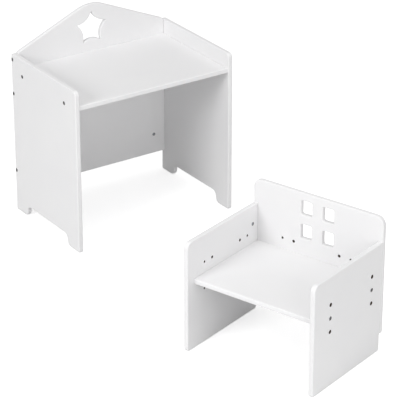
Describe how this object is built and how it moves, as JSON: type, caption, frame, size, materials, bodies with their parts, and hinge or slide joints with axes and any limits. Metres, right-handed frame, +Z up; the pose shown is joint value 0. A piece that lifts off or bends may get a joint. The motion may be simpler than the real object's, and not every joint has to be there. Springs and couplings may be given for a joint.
{
  "type": "children's desk and chair set",
  "caption": "Children's desk with a gabled, star-pierced back and a box-shaped chair with window cut-outs and adjustable seat, in white boards bolted together.",
  "frame": {"origin": "on the floor, in the middle of the box that holds the desk and the chair", "axes": "+X to the right and +Y to the rear of the desk, as its user sees it; +Z up. The desk is at the +Y end and faces -Y; the chair is at the -Y end, its seat facing -X and turned 19 degrees towards -Y"},
  "size_m": [0.6174, 1.4286, 0.6186],
  "materials": {
    "desk_paint": "white lacquered board, satin, all edges rounded over",
    "chair_paint": "white lacquered board, satin, all edges rounded over",
    "bolt_steel": "zinc-plated hex-socket cap bolts",
    "nut_steel": "zinc-plated barrel nuts",
    "beech": "fluted beech dowels, unfinished"
  },
  "bodies": {
    "desk": {"desk_left_side": "desk_paint", "desk_right_side": "desk_paint", "desk_back_panel": "desk_paint", "desk_top": "desk_paint", "desk_left_bolts": "bolt_steel", "desk_right_bolts": "bolt_steel", "desk_top_barrel_nuts": "nut_steel", "desk_back_barrel_nuts": "nut_steel", "desk_left_dowels": "beech", "desk_right_dowels": "beech", "desk_rear_dowels": "beech"},
    "chair": {"chair_left_side": "chair_paint", "chair_right_side": "chair_paint", "chair_backrest": "chair_paint", "chair_seat": "chair_paint", "chair_left_bolts": "bolt_steel", "chair_right_bolts": "bolt_steel", "chair_rear_seat_bolts": "bolt_steel", "chair_rear_side_bolts": "bolt_steel", "chair_seat_barrel_nuts": "nut_steel", "chair_side_barrel_nuts": "nut_steel", "chair_left_dowels": "beech", "chair_right_dowels": "beech", "chair_rear_dowels": "beech"}
  },
  "joints": [
    {"name": "chair_slide", "type": "slide", "parent": "desk", "child": "chair", "axis": [0, 1, 0], "range_m": [-0.25, 0.5]}
  ]
}
